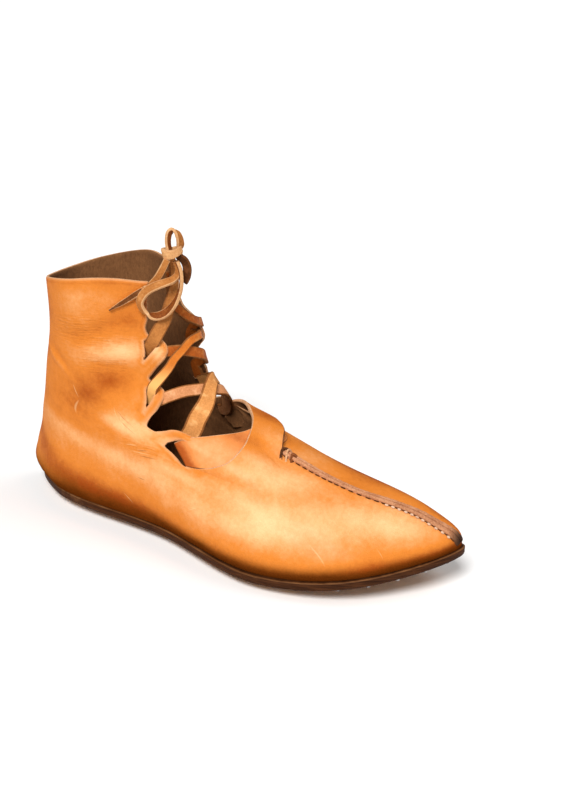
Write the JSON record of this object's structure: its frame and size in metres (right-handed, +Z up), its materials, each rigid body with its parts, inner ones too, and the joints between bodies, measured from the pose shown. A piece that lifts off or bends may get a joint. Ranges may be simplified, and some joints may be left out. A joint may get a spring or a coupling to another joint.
{
  "type": "roman boot",
  "caption": "Ankle boot of Roman pattern in tan leather, with a pointed toe, raised toe seam, crossed instep straps, laced open throat and a flat sole set with iron hobnails",
  "frame": {"origin": "centre of the boot's box at the level of the hobnail tips that it stands on", "axes": "+X to the toe, +Y to the medial side, +Z up"},
  "size_m": [0.296, 0.0924, 0.1921],
  "materials": {
    "tan_leather": "orange tan vegetable-tanned leather, half gloss, burnished dark brown along the sole",
    "sole_leather": "firm sole leather, dark burnished edge, tan underside",
    "insole_leather": "plain tan leather, flesh side",
    "lace_leather": "cut leather thong, grain side tan and flesh side pale",
    "nail_iron": "bright grey forged iron, slightly worn"
  },
  "bodies": {
    "root": {"upper": "tan_leather", "outsole": "sole_leather", "insole": "insole_leather", "lace_crossings": "lace_leather", "lace_knot": "lace_leather", "bow_loop_upper": "lace_leather", "bow_loop_lower": "lace_leather", "lace_end_near": "lace_leather", "lace_end_far": "lace_leather", "hobnail_01": "nail_iron", "hobnail_02": "nail_iron", "hobnail_03": "nail_iron", "hobnail_04": "nail_iron", "hobnail_05": "nail_iron", "hobnail_06": "nail_iron", "hobnail_07": "nail_iron", "hobnail_08": "nail_iron", "hobnail_09": "nail_iron", "hobnail_10": "nail_iron", "hobnail_11": "nail_iron", "hobnail_12": "nail_iron", "hobnail_13": "nail_iron", "hobnail_14": "nail_iron", "hobnail_15": "nail_iron", "hobnail_16": "nail_iron", "hobnail_17": "nail_iron", "hobnail_18": "nail_iron", "hobnail_19": "nail_iron", "hobnail_20": "nail_iron", "hobnail_21": "nail_iron", "hobnail_22": "nail_iron", "hobnail_23": "nail_iron", "hobnail_24": "nail_iron", "hobnail_25": "nail_iron", "hobnail_26": "nail_iron", "hobnail_27": "nail_iron", "hobnail_28": "nail_iron", "hobnail_29": "nail_iron", "hobnail_30": "nail_iron", "hobnail_31": "nail_iron", "hobnail_32": "nail_iron", "hobnail_33": "nail_iron", "hobnail_34": "nail_iron", "hobnail_35": "nail_iron", "hobnail_36": "nail_iron", "hobnail_37": "nail_iron", "hobnail_38": "nail_iron", "hobnail_39": "nail_iron", "hobnail_40": "nail_iron", "hobnail_41": "nail_iron", "hobnail_42": "nail_iron", "hobnail_43": "nail_iron", "hobnail_44": "nail_iron", "hobnail_45": "nail_iron", "hobnail_46": "nail_iron", "hobnail_47": "nail_iron", "hobnail_48": "nail_iron", "hobnail_49": "nail_iron"}
  },
  "joints": []
}
